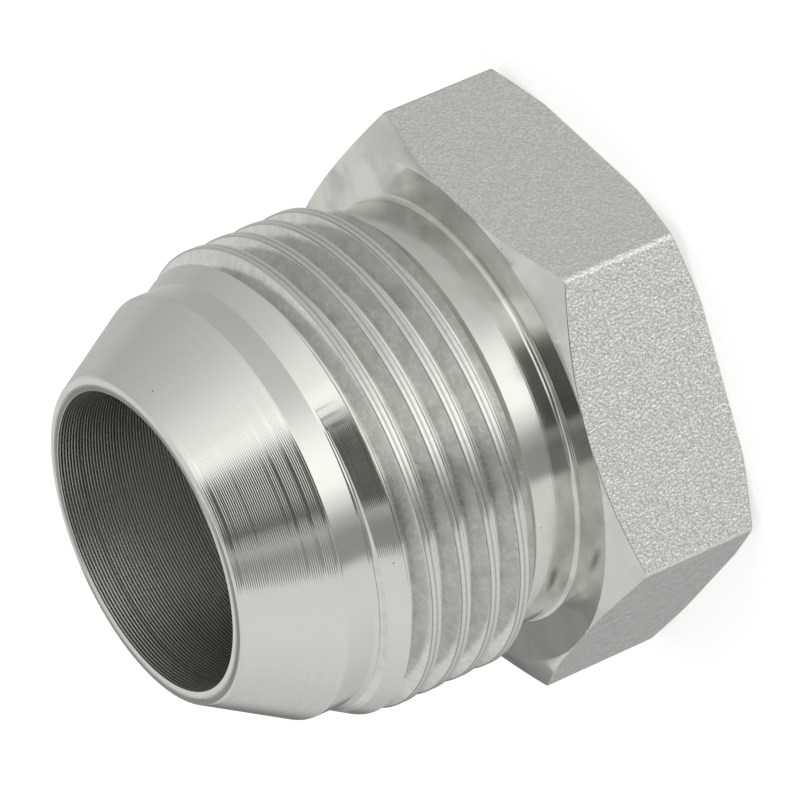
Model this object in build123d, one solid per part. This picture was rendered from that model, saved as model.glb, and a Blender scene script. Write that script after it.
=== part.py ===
from build123d import *
import math
import os

# Threaded plug with a coned nose, a parallel pipe thread and a hexagon head, turned from one bar.
# It stands on the back of its head: the axis is +Z, and the origin is the middle of the head's back face.
# All sizes are in millimetres, and angles are in degrees.

# Head. The two turned faces reach a little past the flats, so their chamfers only trim the corners.
across_flats = 36.0
head_height = 10.8
flat_edge_round = 0.5
front_face_past_flats = 0.05
front_chamfer_angle = 28.0
back_face_past_flats = 0.7
back_chamfer_angle = 21.0

# Thread: rolled, right-handed, 55 degree form, 11 turns to the inch.
# Its depth and the width of its root and crest are shares of the pitch, as the form sets them.
# The chamfer angles at its two ends are measured from the axis.
thread_major_d = 33.2
threads_per_inch = 11
thread_angle = 55.0
depth_share = 0.6403
root_share = 1 / 6
nose_end_chamfer_angle = 30.0
neck_end_chamfer_angle = 45.0
groove_start_angle = -35.5
groove_run_in = 1.0

# Shank, from the shoulder of the head to the nose. Its neck and lead band lie just under the thread's root.
shank_length = 24.3
neck_length = 3.45
neck_under_root = 0.05
neck_fillet = 0.5
neck_fillet_steps = 2
lead_band_length = 2.0
lead_band_under_root = 0.05

# Bore, open at the nose and closed inside the head
bore_d = 21.2
bore_depth = 20.0
drill_point_angle = 118.0

# Nose: a flat rim round the bore, and the seat cone that seals
nose_rim = 0.95
nose_edge_break = 0.17
seat_half_angle = 30.0

# How far a cut or a joined body runs past the face that it crosses; the groove's rim runs past less,
# so that neighbouring turns of the cut stay apart
overrun = 1.0
rim_overrun = 0.2

# Sizes that follow from the ones above
corner_r = across_flats / 2 / math.cos(math.radians(30))
overall_length = head_height + shank_length
pitch = 25.4 / threads_per_inch
root_half = root_share * pitch / 2
flank = math.radians(thread_angle / 2)
major_r = thread_major_d / 2
minor_r = major_r - depth_share * pitch
neck_r = minor_r - neck_under_root
band_r = minor_r - lead_band_under_root
bore_r = bore_d / 2
nose_r = bore_r + nose_rim
neck_top = head_height + neck_length
seat_slope = math.radians(seat_half_angle)
seat_bottom = overall_length - (band_r - nose_r) / math.tan(seat_slope)
band_bottom = seat_bottom - lead_band_length
nose_end_slope = math.tan(math.radians(nose_end_chamfer_angle))
neck_end_slope = math.tan(math.radians(neck_end_chamfer_angle))


def turned(points):
    """Solid turned about Z from a closed outline of (radius, height) points."""
    with BuildPart() as body:
        with BuildSketch(Plane.XZ):
            with BuildLine():
                Polyline(*points, close=True)
            make_face()
        revolve(axis=Axis.Z)
    return body.part


def hexagon_head():
    """Hexagon with rounded upright edges, trimmed by a cone at the back and one at the front."""
    with BuildPart() as head:
        with BuildSketch():
            RegularPolygon(corner_r, 6)
        extrude(amount=head_height)
        fillet(head.edges().filter_by(Axis.Z), flat_edge_round)
    far = corner_r + overrun
    back_r = across_flats / 2 + back_face_past_flats
    front_r = across_flats / 2 + front_face_past_flats
    back_rise = (far - back_r) * math.tan(math.radians(back_chamfer_angle))
    front_drop = (far - front_r) * math.tan(math.radians(front_chamfer_angle))
    envelope = turned([
        (0, 0),
        (back_r, 0),
        (far, back_rise),
        (far, head_height - front_drop),
        (front_r, head_height),
        (0, head_height),
    ])
    return head.part & envelope


def neck_fillet_points():
    """Outline of the small fillet where the neck meets the shoulder, from the shoulder up."""
    centre_r = neck_r + neck_fillet
    centre_z = head_height + neck_fillet
    angles = [math.radians(270 - 90 * step / neck_fillet_steps) for step in range(neck_fillet_steps + 1)]
    return [(centre_r + neck_fillet * math.cos(a), centre_z + neck_fillet * math.sin(a)) for a in angles]


def shank():
    """Neck, thread blank with a chamfer at each end, lead band, seat cone and nose."""
    break_r = nose_r + nose_edge_break * math.sin(seat_slope)
    break_z = overall_length - nose_edge_break * math.cos(seat_slope)
    return turned([
        (0, head_height - overrun),
        (neck_r + neck_fillet, head_height - overrun),
        *neck_fillet_points(),
        (neck_r, neck_top),
        (major_r, neck_top + (major_r - neck_r) / neck_end_slope),
        (major_r, band_bottom - (major_r - band_r) / nose_end_slope),
        (band_r, band_bottom),
        (band_r, seat_bottom),
        (break_r, break_z),
        (nose_r - nose_edge_break, overall_length),
        (0, overall_length),
    ])


def groove_turn():
    """One turn of the thread groove, starting on the +X side at height 0."""
    rim = major_r + rim_overrun
    rim_half = root_half + (rim - minor_r) * math.tan(flank)
    path = Helix(pitch=pitch, height=pitch, radius=minor_r)
    with BuildSketch(Plane(origin=(0, 0, 0), x_dir=(1, 0, 0), z_dir=(0, 1, 0))) as section:
        with BuildLine():
            Polyline(
                (rim, -rim_half),
                (minor_r, -root_half),
                (minor_r, root_half),
                (rim, rim_half),
                close=True,
            )
        make_face()
    return sweep(section.sketch, path=path, is_frenet=True)


def bore():
    """Blind hole with a drill point."""
    floor = overall_length - bore_depth
    point = bore_r / math.tan(math.radians(drill_point_angle / 2))
    return turned([
        (0, floor - point),
        (bore_r, floor),
        (bore_r, overall_length + overrun),
        (0, overall_length + overrun),
    ])


plug = hexagon_head() + shank() - bore()

# The groove starts in the air over the neck and runs out over the lead band.
groove = groove_turn()
groove_start = neck_top - groove_run_in
turns = math.ceil((band_bottom + root_half - groove_start) / pitch)
for turn in range(turns):
    place = Pos(0, 0, groove_start + turn * pitch) * Rot(0, 0, groove_start_angle)
    plug = plug - place * groove

print("bodies", len(plug.solids()), "faces", len(plug.faces()), "volume", round(plug.volume, 1))
print("box", plug.bounding_box())
os.makedirs("parts", exist_ok=True)
export_step(plug, "parts/threaded_plug.step")
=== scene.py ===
# %% [markdown]
# This lesson builds a threaded plug in zinc-plated steel: a hexagon head, a rolled pipe thread, a
# coned nose and a blind bore. On the real plug all of it is one piece of bar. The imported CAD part
# gives its place and its sizes, and the finely detailed plug made here stands in its place.

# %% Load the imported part
import bpy
import bmesh
import math
from mathutils import Matrix, Vector


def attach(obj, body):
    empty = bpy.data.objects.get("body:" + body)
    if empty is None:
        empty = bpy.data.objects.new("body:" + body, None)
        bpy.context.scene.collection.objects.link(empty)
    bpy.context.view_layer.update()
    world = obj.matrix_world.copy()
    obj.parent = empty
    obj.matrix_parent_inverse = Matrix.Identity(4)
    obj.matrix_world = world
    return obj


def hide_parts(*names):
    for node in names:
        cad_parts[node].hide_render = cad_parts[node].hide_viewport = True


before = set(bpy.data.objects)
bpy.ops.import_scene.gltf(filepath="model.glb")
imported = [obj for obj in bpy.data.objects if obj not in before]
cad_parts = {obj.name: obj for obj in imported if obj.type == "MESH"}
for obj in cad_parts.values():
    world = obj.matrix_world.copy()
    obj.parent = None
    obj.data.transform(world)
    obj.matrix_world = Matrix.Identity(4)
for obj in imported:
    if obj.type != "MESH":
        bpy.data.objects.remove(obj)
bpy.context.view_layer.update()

MM = 0.001
print("packed nodes:", sorted(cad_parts))

# %% [markdown]
# The plug is modelled as by hand, with the operators of the window. An operator works on all that is
# selected, so everything is deselected before each step, and vertices, edges and faces are then
# picked by their place.

# %% Helpers: select and edit
TOUCHING = 1e-6


def take(obj):
    """Selects one object alone and makes it active."""
    bpy.ops.object.select_all(action="DESELECT")
    obj.select_set(True)
    bpy.context.view_layer.objects.active = obj


def edit(obj, kind="VERT"):
    """Edit mode on one object alone, with nothing selected in it."""
    take(obj)
    bpy.ops.object.mode_set(mode="EDIT")
    bpy.ops.mesh.select_mode(type=kind)
    bpy.ops.mesh.select_all(action="DESELECT")


def done():
    """Leaves edit mode."""
    bpy.ops.object.mode_set(mode="OBJECT")


def pick(obj, kind, wanted):
    """Selects the vertices, edges or faces for which wanted(element) is true, and says how many."""
    mesh = bmesh.from_edit_mesh(obj.data)
    parts = {"VERT": mesh.verts, "EDGE": mesh.edges, "FACE": mesh.faces}[kind]
    count = 0
    for part in parts:
        part.select_set(bool(wanted(part)))
        count += part.select
    mesh.select_flush_mode()
    bmesh.update_edit_mesh(obj.data)
    return count


# %% [markdown]
# A solid has to be closed, with all its faces looking outwards. A modifier does its work once and is
# then applied, so that the next step finds a plain mesh.

# %% Helpers: close and modify


def close_up(obj):
    """Merges doubles, points all faces outwards, and says how many edges are still open."""
    edit(obj, "EDGE")
    bpy.ops.mesh.select_all(action="SELECT")
    bpy.ops.mesh.remove_doubles(threshold=TOUCHING)
    bpy.ops.mesh.normals_make_consistent(inside=False)
    open_edges = pick(obj, "EDGE", lambda e: not e.is_manifold)
    done()
    return open_edges


def apply_modifier(obj, kind, **settings):
    """Adds a modifier with these settings and applies it at once."""
    take(obj)
    modifier = obj.modifiers.new(kind.title(), kind)
    for name, value in settings.items():
        setattr(modifier, name, value)
    bpy.ops.object.modifier_apply(modifier=modifier.name)


# %% [markdown]
# A turned or wound piece starts as a line: one vertex, extruded from corner to corner.

# %% Helper: draw an outline


def draw_outline(name, points):
    """A new object: a line drawn through (radius, height) points in the XZ plane, left in edit mode."""
    bpy.ops.object.select_all(action="DESELECT")
    bpy.ops.mesh.primitive_plane_add(size=MM)
    obj = bpy.context.object
    obj.name = name
    bpy.ops.object.mode_set(mode="EDIT")
    bpy.ops.mesh.select_mode(type="VERT")
    bpy.ops.mesh.select_all(action="SELECT")
    bpy.ops.mesh.merge(type="CENTER")
    r, z = points[0]
    bpy.ops.transform.translate(value=(r * MM, 0, z * MM))
    for next_r, next_z in points[1:]:
        step = ((next_r - r) * MM, 0, (next_z - z) * MM)
        bpy.ops.mesh.extrude_region_move(TRANSFORM_OT_translate={"value": step})
        r, z = next_r, next_z
    return obj


# %% [markdown]
# The sizes that follow are those of the turned part, in millimetres and degrees. The plug stands on
# the back of its head with its nose up, and its axis is Z. The blank is what a lathe would make: one
# outline turned about the axis. It could be a stack of cylinders and cones, but one outline keeps
# every corner where the drawing has it. Under the thread the blank is a touch fatter than the crests,
# so that the die cuts all of it.

# %% Draw the blank's outline
ACROSS_FLATS = 36.0
HEAD_HEIGHT = 10.8
BACK_FACE_R = 18.7
BACK_CHAMFER = 21.0
FRONT_FACE_R = 18.05
FRONT_CHAMFER = 28.0
NECK_R = 15.0715
NECK_TOP = 14.25
CREST_R = 16.6
STOCK = 0.03
BAND_BOTTOM = 27.0006
BAND_TOP = 29.0006
LEAD_CHAMFER = 30.0
NOSE_R = 11.55
TOTAL_LENGTH = 35.1
BORE_R = 10.6
BORE_FLOOR = 15.1
DRILL_TIP = 8.731
PAST_CORNERS = 1.0


def lean(run, angle):
    """Height gained over a run by a face that leans by an angle, in degrees."""
    return run * math.tan(math.radians(angle))


corner_r = ACROSS_FLATS / 2 / math.cos(math.radians(30))
far_r = corner_r + PAST_CORNERS
stock_r = CREST_R + STOCK
outline = [
    (0, 0),
    (BACK_FACE_R, 0),
    (far_r, lean(far_r - BACK_FACE_R, BACK_CHAMFER)),
    (far_r, HEAD_HEIGHT - lean(far_r - FRONT_FACE_R, FRONT_CHAMFER)),
    (FRONT_FACE_R, HEAD_HEIGHT),
    (NECK_R, HEAD_HEIGHT),
    (NECK_R, NECK_TOP),
    (stock_r, NECK_TOP + stock_r - NECK_R),
    (stock_r, BAND_BOTTOM - lean(stock_r - NECK_R, 90 - LEAD_CHAMFER)),
    (NECK_R, BAND_BOTTOM),
    (NECK_R, BAND_TOP),
    (NOSE_R, TOTAL_LENGTH),
    (BORE_R, TOTAL_LENGTH),
    (BORE_R, BORE_FLOOR),
    (0, DRILL_TIP),
]
plug = draw_outline("threaded_plug_finished", outline)
print("outline corners:", len(outline))

# %% [markdown]
# No turned corner is perfectly sharp: the tool has a nose radius, and burrs are filed off. A vertex
# bevel rounds each corner of the outline while it is still a line, which is simpler than to bevel
# whole rings later. Spin then turns the line into the blank. Each row below is a corner's radius and
# height, how far the round reaches along both sides, and its number of steps.

# %% Break the corners and turn the blank
SPIN_STEPS = 288
BREAKS = [
    (NECK_R, HEAD_HEIGHT, 0.4, 8),
    (NOSE_R, TOTAL_LENGTH, 0.17, 5),
    (BORE_R, TOTAL_LENGTH, 0.06, 3),
    (NECK_R, BAND_TOP, 0.04, 2),
    (NECK_R, BAND_BOTTOM, 0.05, 2),
    (NECK_R, NECK_TOP, 0.06, 2),
    (FRONT_FACE_R, HEAD_HEIGHT, 0.05, 2),
    (BACK_FACE_R, 0, 0.12, 3),
]
broken = 0
for r, z, reach, steps in BREAKS:
    corner = Vector((r * MM, 0, z * MM))
    broken += pick(plug, "VERT", lambda v: (v.co - corner).length < TOUCHING)
    bpy.ops.mesh.bevel(affect="VERTICES", offset=reach * MM, segments=steps)
bpy.ops.mesh.select_all(action="SELECT")
bpy.ops.mesh.spin(steps=SPIN_STEPS, angle=math.tau, center=(0, 0, 0), axis=(0, 0, 1))
done()
print("corners broken:", broken, "open edges:", close_up(plug), "faces:", len(plug.data.polygons))

# %% [markdown]
# Six flats are then cut on the head, as a mill would: Bisect cuts the mesh at a plane, clears what
# lies outside and fills the cut. The shank is narrower than the flats, so the planes miss it. The
# bar's upright edges are rounded, and the edges where the flats meet the turned chamfers are only
# just broken.

# %% Cut the hexagon
EDGE_ROUND = 0.5
EDGE_BREAK = 0.05
HEAD_FROM_R = 17.5
edit(plug, "FACE")
for side in range(6):
    angle = math.radians(30 + 60 * side)
    out = Vector((math.cos(angle), math.sin(angle), 0))
    bpy.ops.mesh.select_all(action="SELECT")
    bpy.ops.mesh.bisect(
        plane_co=out * (ACROSS_FLATS / 2 * MM), plane_no=out, use_fill=True, clear_outer=True,
        threshold=1e-7,
    )
done()


def radius(point):
    """A point's distance from the axis, in millimetres."""
    return math.hypot(point.x, point.y) / MM


def upright(edge):
    """True for an edge that runs up one of the hexagon's six corners."""
    a, b = (v.co for v in edge.verts)
    at_corner = abs(radius(a) - corner_r) < 0.01 and abs(radius(b) - corner_r) < 0.01
    return at_corner and abs(a.z - b.z) > 4 * MM


def round_the_flat(edge):
    """True for an edge between a flat and one of the two turned chamfers."""
    tilts = sorted(abs(face.normal.z) for face in edge.link_faces)
    on_head = radius(edge.verts[0].co) > HEAD_FROM_R
    return len(tilts) == 2 and tilts[0] < 0.02 and 0.5 < tilts[1] < 0.98 and on_head


edit(plug, "EDGE")
rounded = pick(plug, "EDGE", upright)
bpy.ops.mesh.bevel(offset=EDGE_ROUND * math.tan(math.radians(30)) * MM, segments=5)
bpy.ops.mesh.select_all(action="DESELECT")
eased = pick(plug, "EDGE", round_the_flat)
bpy.ops.mesh.bevel(offset=EDGE_BREAK * MM, segments=2)
done()
print("upright edges rounded:", rounded, "chamfer edges eased:", eased, "open edges:", close_up(plug))

# %% [markdown]
# The thread has 11 turns to the inch, its flanks lean by 27.5 degrees, and it was rolled, so each
# crest closes in two lips with a fine seam between them. It is cut here as with a real die: the
# profile of one pitch is drawn as an outline, and the Screw modifier winds it into a rod. The lips,
# the seam and the round root are points of the profile. LIP gives them in millimetres: how far from
# the seam, and how deep under the crest.

# %% Wind the thread
PITCH = 25.4 / 11
FLANK = 27.5
ROOT_R = 15.1215
ROOT_ROUND = 0.18
ROOT_STEPS = (FLANK, 48, 69)
LIP = [
    (0.00, 0.024), (0.03, 0.019), (0.07, 0.007), (0.11, 0.001), (0.15, 0.0), (0.22, 0.0), (0.28, 0.001),
    (0.31, 0.005), (0.33, 0.02), (0.342, 0.05), (0.35, 0.105),
]
WIND_STEPS = 144
ROD_BOTTOM = 9.5
ROD_TURNS = 10


def thread_profile():
    """Outline of one pitch from seam to seam, as (radius, height above the first seam)."""
    side = [(CREST_R - depth, z) for z, depth in LIP]
    for step in ROOT_STEPS:
        turn = math.radians(step)
        r = ROOT_R + ROOT_ROUND * (1 - math.sin(turn))
        side.append((r, PITCH / 2 - ROOT_ROUND * math.cos(turn)))
    return side + [(ROOT_R, PITCH / 2)] + [(r, PITCH - z) for r, z in reversed(side)]


rod = draw_outline("thread_rod", [(r, z + ROD_BOTTOM) for r, z in thread_profile()])
done()
apply_modifier(
    rod, "SCREW", axis="Z", angle=math.tau, steps=WIND_STEPS, render_steps=WIND_STEPS,
    screw_offset=PITCH * MM, iterations=ROD_TURNS, use_merge_vertices=False, use_smooth_shade=False,
)
print("rod turns:", ROD_TURNS, "faces:", len(rod.data.polygons))

# %% [markdown]
# The rod is still an open skin: its ends are filled. It is then turned about the axis until its seam
# passes the camera's side at the height where the plug's own seam does.

# %% Close and turn the rod
CAMERA_SIDE = -73.05
SEAM_AT_CAMERA_SIDE = 23.40
edit(rod)
bpy.ops.mesh.select_all(action="SELECT")
bpy.ops.mesh.remove_doubles(threshold=TOUCHING)
bpy.ops.mesh.select_all(action="DESELECT")
bpy.ops.mesh.select_non_manifold()
bpy.ops.mesh.edge_face_add()
done()
turns_up = (SEAM_AT_CAMERA_SIDE - ROD_BOTTOM) / PITCH
take(rod)
rod.rotation_euler.z = math.radians(CAMERA_SIDE) - math.tau * (turns_up % 1)
bpy.ops.object.transform_apply(location=False, rotation=True, scale=False)
print("rod open edges:", close_up(rod), "faces:", len(rod.data.polygons))

# %% [markdown]
# The rod is cut out of a thick disc, and what is left of the disc is the die. A thread could be wound
# straight on the blank, but only a cut gives the true run-out on both chamfers.

# %% Make the die
DIE_BOTTOM = 12.9
DIE_TOP = 28.2
DIE_R = 17.6
bpy.ops.object.select_all(action="DESELECT")
bpy.ops.mesh.primitive_cylinder_add(
    vertices=72, radius=DIE_R * MM, depth=(DIE_TOP - DIE_BOTTOM) * MM,
    location=(0, 0, (DIE_TOP + DIE_BOTTOM) / 2 * MM),
)
die = bpy.context.object
bpy.ops.object.transform_apply(location=True, rotation=False, scale=False)
apply_modifier(die, "BOOLEAN", operation="DIFFERENCE", object=rod, solver="EXACT")
print("die faces:", len(die.data.polygons))

# %% [markdown]
# Before the cut, the faces get their finishes by slot, because the cut keeps them: the turned faces,
# the seat cone, the blasted flats and the bore on the blank, and the rolled thread on the die. Where
# a face lies and which way it looks tell its finish.

# %% Give the faces their finishes
FINISHES = ["turned_zinc", "seat_zinc", "blasted_zinc", "bored_zinc", "rolled_zinc"]
finish = {name: bpy.data.materials.new(name) for name in FINISHES}
for piece in (plug, die):
    piece.data.materials.clear()
    for name in FINISHES:
        piece.data.materials.append(finish[name])


def finish_of(face):
    """Which finish a face of the blank has."""
    centre = face.center / MM
    r = math.hypot(centre.x, centre.y)
    if r < BORE_R + 0.03 and centre.z > DRILL_TIP:
        return "bored_zinc"
    if centre.z > BAND_TOP and r < NECK_R:
        return "seat_zinc" if r > NOSE_R else "turned_zinc"
    if r > BORE_R and centre.z < HEAD_HEIGHT and abs(face.normal.z) < 0.02:
        return "blasted_zinc"
    return "turned_zinc"


for face in plug.data.polygons:
    face.material_index = FINISHES.index(finish_of(face))
for face in die.data.polygons:
    face.material_index = FINISHES.index("rolled_zinc")
print("finishes:", FINISHES)

# %% [markdown]
# The die is cut from the blank, and rod and die are thrown away. Faces that meet at less than 32
# degrees are shaded as one round surface. Weighted normals then let each large face keep its own
# direction, so that the flat faces and the cone mirror without a bend beside their broken edges.

# %% Cut the thread
SMOOTH_UNDER = 32
apply_modifier(plug, "BOOLEAN", operation="DIFFERENCE", object=die, solver="EXACT")
for tool in (rod, die):
    bpy.data.objects.remove(tool)
open_edges = close_up(plug)
take(plug)
bpy.ops.object.shade_smooth_by_angle(angle=math.radians(SMOOTH_UNDER))
apply_modifier(plug, "WEIGHTED_NORMAL", keep_sharp=True)
bpy.ops.object.origin_set(type="ORIGIN_CURSOR")
triangles = sum(len(p.vertices) - 2 for p in plug.data.polygons)
print("plug triangles:", triangles, "open edges:", open_edges, "origin:", plug.location[:])
shares = {n: sum(p.area for p in plug.data.polygons if FINISHES[p.material_index] == n) for n in FINISHES}
print("finish areas, cm2:", {n: round(a * 1e4, 2) for n, a in shares.items()})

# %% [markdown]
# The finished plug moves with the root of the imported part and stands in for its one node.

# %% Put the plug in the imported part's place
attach(plug, "root")
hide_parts("threaded_plug")
print("finished piece:", plug.name)

# %% [markdown]
# Every finish is the same metal: steel under a few microns of electroplated zinc, passivated clear, a
# light and slightly warm grey that reflects about two thirds of the light. What differs is how the
# steel was worked before it was plated. One helper turns an sRGB hex value to linear light, and one
# adds a node, sets its inputs and properties, and links it. A Mix node's colours are its inputs 6 and
# 7, and its mixed colour is its output 2.

# %% Helpers for finishes
ZINC = "#D5D6D0"
GRIME_AND_SHADE = "#5C5D56"


def linear(code):
    """Linear colour from an sRGB hex value."""
    parts = [int(code[i:i + 2], 16) / 255 for i in (1, 3, 5)]
    return (*(p / 12.92 if p <= 0.04045 else ((p + 0.055) / 1.055) ** 2.4 for p in parts), 1.0)


def add(tree, kind, inputs=(), **settings):
    """Adds a node. An input given as another node's output is linked, any other value is set."""
    new = tree.nodes.new(kind)
    for name, value in settings.items():
        setattr(new, name, value)
    for name, value in dict(inputs).items():
        if isinstance(value, bpy.types.NodeSocket):
            tree.links.new(value, new.inputs[name])
        else:
            new.inputs[name].default_value = value
    return new


def start_metal(name, roughness, anisotropy=0.0):
    """Sets one finish to bare bright zinc, and gives its tree, its shader and the place on the plug."""
    finish[name].use_nodes = True
    tree = finish[name].node_tree
    shader = tree.nodes["Principled BSDF"]
    shader.inputs["Base Color"].default_value = linear(ZINC)
    shader.inputs["Metallic"].default_value = 1.0
    shader.inputs["Roughness"].default_value = roughness
    place = add(tree, "ShaderNodeTexCoord").outputs["Object"]
    if anisotropy:
        lay = add(tree, "ShaderNodeTangent", direction_type="RADIAL", axis="Z")
        shader.inputs["Anisotropic"].default_value = anisotropy
        shader.inputs["Anisotropic Rotation"].default_value = 0.25
        tree.links.new(lay.outputs["Tangent"], shader.inputs["Tangent"])
    return tree, shader, place


def radius_and_height(tree, place):
    """Distance from the axis and height over the back face, in metres."""
    across = add(tree, "ShaderNodeVectorMath", {0: place, 1: (1, 1, 0)}, operation="MULTIPLY").outputs[0]
    r = add(tree, "ShaderNodeVectorMath", {0: across}, operation="LENGTH").outputs["Value"]
    return r, add(tree, "ShaderNodeSeparateXYZ", {0: place}).outputs["Z"]


# %% [markdown]
# A lathe tool leaves rings. They need a coordinate that grows along the outline and is the same all
# round: height less 1.37 times the radius does, on cylinders, on cones and on flat faces. A Wave
# texture draws one ring per feed of the tool, and a noise along the same coordinate makes some rings
# deeper, as chips and wear do.

# %% Rings of the lathe tool
OUTLINE_SLOPE = -1.37
WAVE_LENGTH = math.tau / 20
RINGS_IN_A_ROW = 3.1


def rings(tree, place, feed, unevenness):
    """Height of the tool's rings, 0 to 1, one for each feed in millimetres along the axis."""
    r, z = radius_and_height(tree, place)
    along = add(tree, "ShaderNodeMath", {0: r, 1: OUTLINE_SLOPE, 2: z}, operation="MULTIPLY_ADD").outputs[0]
    line = add(tree, "ShaderNodeCombineXYZ", {"X": along}).outputs[0]
    wave = add(tree, "ShaderNodeTexWave", {
        "Vector": line, "Scale": WAVE_LENGTH / (feed * MM),
    }, bands_direction="X").outputs["Fac"]
    chance = add(tree, "ShaderNodeTexNoise", {
        "W": along, "Scale": 1 / (RINGS_IN_A_ROW * feed * MM), "Detail": 3.0,
    }, noise_dimensions="1D").outputs[0]
    depth = add(tree, "ShaderNodeMapRange", {
        "Value": chance, "From Min": 0.25, "From Max": 0.45, "To Min": 1 - unevenness, "To Max": 1.0,
    }).outputs[0]
    return add(tree, "ShaderNodeMath", {0: wave, 1: depth}, operation="MULTIPLY").outputs[0]


# %% [markdown]
# Plating dust and handling leave a few dark specks. Each speck is the middle of a Voronoi cell about
# 2 mm wide, and a noise decides which cells show theirs.

# %% Specks
SPECK_CELL = 2.0
SPECK_SHARE = 0.04
SPECK_CLUSTER = 5.4


def specks(tree, place):
    """0 on clean metal and 1 in a speck."""
    cells = add(tree, "ShaderNodeTexVoronoi", {"Vector": place, "Scale": 1 / (SPECK_CELL * MM)})
    dot = add(tree, "ShaderNodeMapRange", {
        "Value": cells.outputs["Distance"], "From Min": SPECK_SHARE, "From Max": SPECK_SHARE / 2,
    }).outputs[0]
    chance = add(tree, "ShaderNodeTexNoise", {
        "Vector": place, "Scale": 1 / (SPECK_CLUSTER * MM), "Detail": 2.0,
    }).outputs[0]
    shown = add(tree, "ShaderNodeMapRange", {"Value": chance, "From Min": 0.48, "From Max": 0.56}).outputs[0]
    return add(tree, "ShaderNodeMath", {0: dot, 1: shown}, operation="MULTIPLY").outputs[0]


# %% [markdown]
# Turned zinc covers the neck, the band, the washer face, the chamfers and the rim. A sharp tool and a
# slow feed leave a face that mirrors its surroundings, and oil from handling leaves patches of haze
# about 3 mm wide, a little duller than the rest. The grain of the turning runs round the axis, so
# highlights stretch across it.

# %% Turned zinc
HAZE_SIZE = 2.857
tree, shader, place = start_metal("turned_zinc", 0.13, 0.5)
r, z = radius_and_height(tree, place)
haze = add(tree, "ShaderNodeTexNoise", {
    "Vector": place, "Scale": 1 / (HAZE_SIZE * MM), "Detail": 5.0,
}).outputs[0]
dullness = add(tree, "ShaderNodeMapRange", {
    "Value": haze, "From Min": 0.35, "From Max": 0.7, "To Min": 0.08, "To Max": 0.16,
}).outputs[0]
tree.links.new(dullness, shader.inputs["Roughness"])
print("turned zinc so far:", len(tree.nodes), "nodes")

# %% [markdown]
# The neck has one small dark stain where oil dried. A Mapping node brings the stain's place to the
# origin and turns it to face outwards, a second one shrinks its reach in millimetres to one, and a
# spherical gradient draws it there. The haze makes its edge ragged.

# %% Stain on the neck
STAIN_FROM_CAMERA = -60
STAIN_HEIGHT = 12.55
STAIN_REACH = (1.111, 1.5625, 0.5)
side = math.radians(CAMERA_SIDE + STAIN_FROM_CAMERA)
stain_place = (NECK_R * math.cos(side) * MM, NECK_R * math.sin(side) * MM, STAIN_HEIGHT * MM)
moved = add(
    tree, "ShaderNodeMapping", {"Vector": place, "Location": stain_place, "Rotation": (0, 0, side)},
    vector_type="TEXTURE",
).outputs[0]
shrunk = add(tree, "ShaderNodeMapping", {
    "Vector": moved, "Scale": tuple(1 / (reach * MM) for reach in STAIN_REACH),
}).outputs[0]
stain = add(tree, "ShaderNodeTexGradient", {"Vector": shrunk}, gradient_type="SPHERICAL").outputs["Fac"]
ragged = add(tree, "ShaderNodeMath", {0: stain, 1: haze}, operation="MULTIPLY").outputs[0]
share = add(tree, "ShaderNodeMapRange", {"Value": ragged, "From Max": 0.3, "To Max": 0.9}).outputs[0]
colour = add(
    tree, "ShaderNodeMix", {0: share, 6: linear(ZINC), 7: linear(GRIME_AND_SHADE)}, data_type="RGBA",
).outputs[2]
share = specks(tree, place)
colour = add(tree, "ShaderNodeMix", {0: share, 6: colour, 7: linear(GRIME_AND_SHADE)}, data_type="RGBA").outputs[2]
print("stain at", [round(c / MM, 2) for c in stain_place], "mm")

# %% [markdown]
# The neck and the washer face are painted greyer low down, a painted shade in the corner where the neck
# meets the head. Two ramps, by height and by radius, fade the painted shade out at the top of the neck and
# at the head's chamfer.

# %% Painted shade on the neck
NECK_SHADE = "#A6A7A2"
GREY_HEIGHTS = (11.5, 14.4)
GREY_RADII = (17.9, 18.3)
# Painted shade: the colour darkens towards the washer face, in patches set by the haze.
by_height = add(tree, "ShaderNodeMapRange", {
    "Value": z, "From Min": GREY_HEIGHTS[0] * MM, "From Max": GREY_HEIGHTS[1] * MM,
    "To Min": 0.2, "To Max": 0.0,
}).outputs[0]
by_radius = add(tree, "ShaderNodeMapRange", {
    "Value": r, "From Min": GREY_RADII[0] * MM, "From Max": GREY_RADII[1] * MM,
    "To Min": 1.0, "To Max": 0.6,
}).outputs[0]
low_shade = add(tree, "ShaderNodeMath", {0: by_height, 1: by_radius}, operation="MULTIPLY").outputs[0]
patches = add(tree, "ShaderNodeMapRange", {
    "Value": haze, "From Min": 0.42, "From Max": 0.6, "To Min": 0.2, "To Max": 2.2,
}).outputs[0]
share = add(tree, "ShaderNodeMath", {0: low_shade, 1: patches}, operation="MULTIPLY").outputs[0]
colour = add(tree, "ShaderNodeMix", {0: share, 6: colour, 7: linear(NECK_SHADE)}, data_type="RGBA").outputs[2]
tree.links.new(colour, shader.inputs["Base Color"])
print("greyed up to", GREY_HEIGHTS[1], "mm")

# %% [markdown]
# The tool's rings are 0.2 mm apart. They show best on the thread's lead chamfer, which was cut in one
# fast pass, and are almost polished away elsewhere. The chamfer is told by its radius and height.

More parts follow.
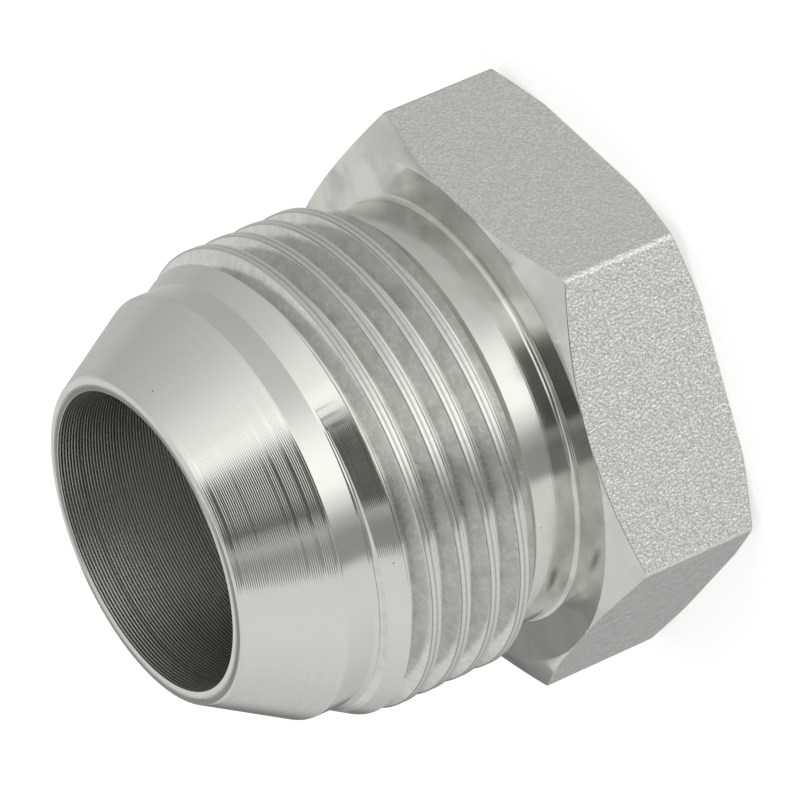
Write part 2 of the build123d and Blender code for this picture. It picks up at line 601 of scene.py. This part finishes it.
# %% Rings on the turned faces
TURNED_FEED = 0.2
TURNED_DEPTH = 0.004
POLISHED = 0.15
OUTSIDE_NECK = (15.09, 15.13)
ABOVE_HEAD = (13.0, 13.2)
outside_neck = add(tree, "ShaderNodeMapRange", {
    "Value": r, "From Min": OUTSIDE_NECK[0] * MM, "From Max": OUTSIDE_NECK[1] * MM,
}).outputs[0]
above_head = add(tree, "ShaderNodeMapRange", {
    "Value": z, "From Min": ABOVE_HEAD[0] * MM, "From Max": ABOVE_HEAD[1] * MM,
}).outputs[0]
on_chamfer = add(
    tree, "ShaderNodeMath", {0: outside_neck, 1: above_head}, operation="MULTIPLY",
).outputs[0]
depth = add(tree, "ShaderNodeMapRange", {"Value": on_chamfer, "To Min": POLISHED}).outputs[0]
marks = rings(tree, place, TURNED_FEED, 0.8)
marks = add(tree, "ShaderNodeMath", {0: marks, 1: depth}, operation="MULTIPLY").outputs[0]
groove = add(tree, "ShaderNodeBump", {"Height": marks, "Distance": TURNED_DEPTH * MM, "Strength": 1.0})
tree.links.new(groove.outputs[0], shader.inputs["Normal"])
print("turned zinc:", len(tree.nodes), "nodes")

# %% [markdown]
# Seat zinc is on the cone, the face that seals. It was turned last and fast, so its rings are deep
# enough to catch the light one by one: 0.15 mm apart along the cone, with walls that lean by up to 11
# degrees.

# %% Seat zinc
SEAT_FEED = 0.225
SEAT_DEPTH = 0.009
tree, shader, place = start_metal("seat_zinc", 0.09, 0.3)
marks = rings(tree, place, SEAT_FEED, 0.7)
share = specks(tree, place)
colour = add(
    tree, "ShaderNodeMix", {0: share, 6: linear(ZINC), 7: linear(GRIME_AND_SHADE)}, data_type="RGBA",
).outputs[2]
tree.links.new(colour, shader.inputs["Base Color"])
groove = add(tree, "ShaderNodeBump", {"Height": marks, "Distance": SEAT_DEPTH * MM, "Strength": 1.0})
tree.links.new(groove.outputs[0], shader.inputs["Normal"])
print("seat zinc:", len(tree.nodes), "nodes")

# %% [markdown]
# Blasted zinc is on the flats: the skin of the rolled bar, blasted with shot before plating. Each shot
# leaves a dent about 0.2 mm wide with bright walls, on skin that waves over about 1 mm, so the flats glitter
# where a dent mirrors the white panel. The dents' tops are painted lighter and their bottoms greyer, a
# painted glint and painted shade that follow the bumps.

# %% Blasted zinc
DENT_SIZE = 0.2
WAVE_SIZE = 1.111
WAVE_SHARE = 0.8
BLAST_DEPTH = 0.09
tree, shader, place = start_metal("blasted_zinc", 0.17)
dents = add(tree, "ShaderNodeTexNoise", {
    "Vector": place, "Scale": 1 / (DENT_SIZE * MM), "Detail": 2.0, "Roughness": 0.6,
}).outputs[0]
waves = add(tree, "ShaderNodeTexNoise", {
    "Vector": place, "Scale": 1 / (WAVE_SIZE * MM), "Detail": 3.0,
}).outputs[0]
skin = add(tree, "ShaderNodeMath", {0: waves, 1: WAVE_SHARE, 2: dents}, operation="MULTIPLY_ADD").outputs[0]
# Painted glint and shade: the dents' tops are coloured lighter, their bottoms greyer.
share = add(tree, "ShaderNodeMapRange", {"Value": dents, "From Min": 0.4, "From Max": 0.68}).outputs[0]
colour = add(
    tree, "ShaderNodeMix", {0: share, 6: linear("#D4D5D0"), 7: linear("#EEEFEC")}, data_type="RGBA",
).outputs[2]
tree.links.new(colour, shader.inputs["Base Color"])
groove = add(tree, "ShaderNodeBump", {"Height": skin, "Distance": BLAST_DEPTH * MM, "Strength": 1.0})
tree.links.new(groove.outputs[0], shader.inputs["Normal"])
print("blasted zinc:", len(tree.nodes), "nodes")

# %% [markdown]
# Bored zinc is on the bore's wall, which was drilled and then bored with a coarse feed of 0.23 mm.
# Its rings are painted with bright tops and dark bottoms, dirt and painted shade in the grooves, and the
# wall is darker than the outside: deep in a hole little zinc is deposited and it is dull, and the dark
# colour also stands in for the shade inside the bore.

# %% Bored zinc
BORE_FEED = 0.23
BORE_DEPTH = 0.024
tree, shader, place = start_metal("bored_zinc", 0.36)
marks = rings(tree, place, BORE_FEED, 0.2)
# Painted shade and dirt: the ring bottoms are coloured dark, the tops light.
share = add(tree, "ShaderNodeMapRange", {"Value": marks, "From Min": 0.25, "From Max": 0.85}).outputs[0]
colour = add(
    tree, "ShaderNodeMix", {0: share, 6: linear("#83847D"), 7: linear("#E6E7E3")}, data_type="RGBA",
).outputs[2]
tree.links.new(colour, shader.inputs["Base Color"])
groove = add(tree, "ShaderNodeBump", {"Height": marks, "Distance": BORE_DEPTH * MM, "Strength": 1.0})
tree.links.new(groove.outputs[0], shader.inputs["Normal"])
print("bored zinc:", len(tree.nodes), "nodes")

# %% [markdown]
# Rolled zinc has three skins. Its root was pressed smooth by the die and is a little dull, its flanks
# are mottled and pitted where the steel slid along the die, and its crests are bright. The radius
# tells them apart, and the mottle makes the edge between root and flank ragged. The thread's last
# turn, over the lead chamfer, was worn smooth.

# %% Rolled zinc: root, flank and crest
MOTTLE_SIZE = 0.3846
CLOUD_SIZE = 1.429
RAGGEDNESS = 0.6
FLANK_FROM = (15.50, 15.75)
CREST_FROM = (16.45, 16.49)
WORN_FROM = (25.5, 26.1)
tree, shader, place = start_metal("rolled_zinc", 0.3)
r, z = radius_and_height(tree, place)
mottle = add(tree, "ShaderNodeTexNoise", {
    "Vector": place, "Scale": 1 / (MOTTLE_SIZE * MM), "Detail": 4.0, "Roughness": 0.65,
}).outputs[0]
cloud = add(tree, "ShaderNodeTexNoise", {
    "Vector": place, "Scale": 1 / (CLOUD_SIZE * MM), "Detail": 3.0,
}).outputs[0]
ragged_r = add(
    tree, "ShaderNodeMath", {0: mottle, 1: RAGGEDNESS * MM, 2: r}, operation="MULTIPLY_ADD",
).outputs[0]
off_root = add(tree, "ShaderNodeMapRange", {
    "Value": ragged_r, "From Min": FLANK_FROM[0] * MM, "From Max": FLANK_FROM[1] * MM,
}).outputs[0]
unworn = add(tree, "ShaderNodeMapRange", {
    "Value": z, "From Min": WORN_FROM[0] * MM, "From Max": WORN_FROM[1] * MM, "To Min": 1.0, "To Max": 0.0,
}).outputs[0]
on_flank = add(tree, "ShaderNodeMath", {0: off_root, 1: unworn}, operation="MULTIPLY").outputs[0]
on_crest = add(tree, "ShaderNodeMapRange", {
    "Value": r, "From Min": CREST_FROM[0] * MM, "From Max": CREST_FROM[1] * MM,
}).outputs[0]
print("flanks from radius", FLANK_FROM[0], "mm, crests from", CREST_FROM[0], "mm")

# %% [markdown]
# The colours go one over another: the smooth root, brighter torn spots on the flanks, soft clouds, the
# bright crest, dirt and painted shade in the fold of the seam, and painted shade in the pits.

# %% Rolled zinc: colours
IN_FOLD = (16.582, 16.597)
spots = add(tree, "ShaderNodeMapRange", {"Value": mottle, "From Min": 0.48, "From Max": 0.62}).outputs[0]
torn = add(tree, "ShaderNodeMath", {0: on_flank, 1: spots}, operation="MULTIPLY").outputs[0]
clouds = add(tree, "ShaderNodeMapRange", {
    "Value": cloud, "From Min": 0.47, "From Max": 0.65, "To Min": 0.0, "To Max": 0.25,
}).outputs[0]
# Dirt and painted shade: the seam's fold is darkened towards its bottom.
in_fold = add(tree, "ShaderNodeMapRange", {
    "Value": r, "From Min": IN_FOLD[0] * MM, "From Max": IN_FOLD[1] * MM, "To Min": 0.38, "To Max": 0.0,
}).outputs[0]
fold_dirt_and_shade = add(tree, "ShaderNodeMath", {0: in_fold, 1: on_crest}, operation="MULTIPLY").outputs[0]
# Painted shade: the lowest points of the mottle, the pits, are coloured dark.
pit_shade = add(tree, "ShaderNodeMapRange", {
    "Value": mottle, "From Min": 0.24, "From Max": 0.3, "To Min": 0.6, "To Max": 0.0,
}).outputs[0]
colour = linear("#D8D9D5")
layers = [(torn, "#E3E4E1"), (clouds, "#AFB0AB"), (on_crest, ZINC), (fold_dirt_and_shade, GRIME_AND_SHADE), (pit_shade, GRIME_AND_SHADE)]
for share, shade in layers:
    colour = add(tree, "ShaderNodeMix", {0: share, 6: colour, 7: linear(shade)}, data_type="RGBA").outputs[2]
tree.links.new(colour, shader.inputs["Base Color"])
print("rolled zinc colours:", len(layers) + 1)

# %% [markdown]
# The torn flanks are duller and rougher than the root and the crests, so both the roughness and the
# depth of the bumps follow how much the steel was worked.

# %% Rolled zinc: gloss and pits
ROLLED_DEPTH = 0.012
worked = add(tree, "ShaderNodeMath", {0: on_flank, 1: on_crest}, operation="SUBTRACT").outputs[0]
dullness = add(tree, "ShaderNodeMapRange", {"Value": worked, "To Min": 0.12, "To Max": 0.22}).outputs[0]
tree.links.new(dullness, shader.inputs["Roughness"])
rough = add(tree, "ShaderNodeMapRange", {"Value": worked, "To Min": 0.2, "To Max": 1.0}).outputs[0]
depth = add(tree, "ShaderNodeMath", {0: mottle, 1: rough}, operation="MULTIPLY").outputs[0]
groove = add(tree, "ShaderNodeBump", {"Height": depth, "Distance": ROLLED_DEPTH * MM, "Strength": 1.0})
tree.links.new(groove.outputs[0], shader.inputs["Normal"])
print("rolled zinc:", len(tree.nodes), "nodes")

# %% [markdown]
# A bright metal looks like what stands round it. The room is painted into the world by direction,
# which is simpler than to hang panels round so small a piece. Each ramp goes once round the room, and
# its stops are degrees from the camera's side and brightness. GROUND is what lies steeply below, LOW
# what lies below the horizon, and WALLS what lies above it. They hold a wide soft white panel, a dark
# panel edge, and one dark stretch of wall behind the plug.

# %% Paint the room
GROUND = [
    (-180, 0.6), (-60, 0.68), (-30, 0.8), (0, 1.05), (15, 0.95), (28, 0.62), (45, 0.5), (54, 0.85),
    (110, 0.8), (150, 0.6), (180, 0.6),
]
LOW = [
    (-180, 0.6), (-150, 0.6), (-128, 0.55), (-100, 0.57), (-80, 0.62), (-60, 0.70), (-50, 0.73),
    (-40, 0.81), (-30, 0.96), (-20, 1.19), (-10, 1.36), (0, 1.44), (12, 1.40), (22, 0.95), (28, 0.62),
    (36, 0.38), (50, 0.38), (55, 0.87), (80, 0.89), (110, 0.80), (130, 0.69), (150, 0.6), (156, 0.5),
    (163, 0.26), (168, 0.2), (180, 0.3),
]
WALLS = [
    (-180, 0.86), (-150, 0.80), (-135, 0.63), (-128, 0.58), (-112, 0.62), (-96, 0.67), (-88, 0.71),
    (-79, 0.76), (-70, 0.85), (-60, 0.96), (-51, 1.08), (-41, 1.18), (-37, 1.2), (-36, 1.38), (-15, 1.38),
    (0, 1.2), (10, 1.0), (17, 0.5), (22, 0.3), (29, 0.3), (30, 0.52), (34, 0.50), (37, 0.33), (52, 0.33),
    (56, 0.88), (90, 0.90), (130, 0.80), (150, 0.84), (156, 0.8), (162, 0.34), (180, 0.32),
]
CEILING = (0.86, 0.86, 0.85, 1)
world = bpy.data.worlds.new("studio")
bpy.context.scene.world = world
world.use_nodes = True
tree = world.node_tree
looking = add(tree, "ShaderNodeTexCoord").outputs["Generated"]
turned = add(tree, "ShaderNodeMapping", {
    "Vector": looking, "Rotation": (0, 0, -math.radians(CAMERA_SIDE)),
}).outputs[0]
around = add(tree, "ShaderNodeTexGradient", {"Vector": turned}, gradient_type="RADIAL").outputs["Fac"]
height = add(tree, "ShaderNodeSeparateXYZ", {0: looking}).outputs["Z"]


def panorama(stops, way=around):
    """A ramp that goes once round the room, from (degrees to the camera's side, brightness) stops."""
    ramp = add(tree, "ShaderNodeValToRGB", {"Fac": way})
    elements = ramp.color_ramp.elements
    ends = {-180: elements[1], 180: elements[0]}
    for side, light in stops:
        element = ends[side] if side in ends else elements.new(0.5 - side / 360)
        element.color = (light, light, light * 0.985, 1)
    return ramp.outputs["Color"]


def rise(low, high):
    """0 below one height and 1 above the other, both in degrees over the horizon."""
    return add(tree, "ShaderNodeMapRange", {
        "Value": height, "From Min": math.sin(math.radians(low)), "From Max": math.sin(math.radians(high)),
    }, interpolation_type="SMOOTHSTEP").outputs[0]


room = panorama(GROUND)
upwards = [(rise(-48, -34), panorama(LOW)), (rise(-4, 4), panorama(WALLS)), (rise(42, 58), CEILING)]
for share, part in upwards:
    room = add(tree, "ShaderNodeMix", {0: share, 6: room, 7: part}, data_type="RGBA").outputs[2]
print("room painted with", len(GROUND) + len(LOW) + len(WALLS), "stops")

# %% [markdown]
# Over the walls stands a dark doorway, which gives the metal its one crisp dark stripe. Its left side
# fades and leans by 9 degrees, and its right side is upright and sharp, so each has its own ramp. The
# camera itself sees plain white, as in a catalogue picture.

# %% Doorway
DOOR_LEFT = [
    (-180, 0), (-23.5, 0), (-17.5, 0.15), (-13.5, 0.5), (-8.5, 0.85), (-2.5, 1), (90, 1), (91, 0), (180, 0),
]
DOOR_RIGHT = [(-180, 0), (-90, 0), (-89, 1), (28, 1), (29, 0), (180, 0)]
DOOR_TILT = 9
DOOR_DARK = (0.13, 0.13, 0.12, 1)
WHITE = (1, 1, 1, 1)
tilted = add(tree, "ShaderNodeMapping", {
    "Vector": turned, "Rotation": (math.radians(DOOR_TILT), 0, 0),
}).outputs[0]
around_door = add(
    tree, "ShaderNodeTexGradient", {"Vector": tilted}, gradient_type="RADIAL",
).outputs["Fac"]
lintel = add(tree, "ShaderNodeMath", {0: rise(18, 24), 1: rise(58, 66)}, operation="SUBTRACT").outputs[0]
jambs = add(tree, "ShaderNodeMath", {
    0: panorama(DOOR_LEFT, around_door), 1: panorama(DOOR_RIGHT),
}, operation="MULTIPLY").outputs[0]
door = add(tree, "ShaderNodeMath", {0: jambs, 1: lintel}, operation="MULTIPLY").outputs[0]
seen = add(tree, "ShaderNodeLightPath").outputs["Is Camera Ray"]
for share, part in [(door, DOOR_DARK), (seen, WHITE)]:
    room = add(tree, "ShaderNodeMix", {0: share, 6: room, 7: part}, data_type="RGBA").outputs[2]
tree.links.new(room, tree.nodes["Background"].inputs["Color"])
print("studio:", len(tree.nodes), "nodes")

# %% [markdown]
# The floor is a sheet of matt white paper, wide enough to have no edge in view. The plug throws a
# soft shadow on it. A little light of its own, for the camera's eye alone, lifts it to the white
# round it. The metal doesn't mirror it, because the room's ramps already paint what the metal sees
# below the horizon.

# %% Floor
PAPER = (0.8, 0.8, 0.8, 1)
PAPER_LIFT = 0.5
FLOOR_SIZE = 4
bpy.ops.object.select_all(action="DESELECT")
bpy.ops.mesh.primitive_plane_add(size=FLOOR_SIZE, location=(0, 0, 0))
floor = bpy.context.object
floor.name = "floor"
floor.visible_glossy = False
paper = bpy.data.materials.new("white_paper")
paper.use_nodes = True
tree = paper.node_tree
shader = tree.nodes["Principled BSDF"]
shader.inputs["Base Color"].default_value = PAPER
shader.inputs["Roughness"].default_value = 1.0
shader.inputs["Specular IOR Level"].default_value = 0.0
shader.inputs["Emission Color"].default_value = WHITE
seen = add(tree, "ShaderNodeLightPath").outputs["Is Camera Ray"]
lift = add(tree, "ShaderNodeMath", {0: seen, 1: PAPER_LIFT}, operation="MULTIPLY").outputs[0]
tree.links.new(lift, shader.inputs["Emission Strength"])
floor.data.materials.append(paper)
print("floor:", FLOOR_SIZE, "m wide")

# %% [markdown]
# The camera has the photograph's view: a long lens half a metre away, whose place was found by
# fitting the plug's circles and edges. It looks a little down on the standing plug and is rolled by
# 113 degrees, so the plug seems to lie on its side. Three directions make up its turn: right, up and
# back.

# %% Camera
CAMERA_PLACE = Vector((133.939, -439.621, 235.112)) * MM
CAMERA_AIM = Vector((2.224, -0.810, 14.559)) * MM
CAMERA_ROLL = -113.358
LENS = 343.408
SENSOR = 36.0
forward = (CAMERA_AIM - CAMERA_PLACE).normalized()
level_right = forward.cross(Vector((0, 0, 1))).normalized()
level_up = level_right.cross(forward)
roll = math.radians(CAMERA_ROLL)
right = math.cos(roll) * level_right + math.sin(roll) * level_up
turn = Matrix((right, right.cross(forward), -forward)).transposed()
camera_data = bpy.data.cameras.new("camera")
camera_data.lens = LENS
camera_data.sensor_width = SENSOR
camera_data.clip_start = 0.01
camera = bpy.data.objects.new("camera", camera_data)
bpy.context.scene.collection.objects.link(camera)
camera.location = CAMERA_PLACE
camera.rotation_euler = turn.to_euler()
bpy.context.scene.camera = camera
bpy.context.scene.view_settings.view_transform = "Standard"
print("camera is", round((CAMERA_AIM - CAMERA_PLACE).length, 3), "m away")
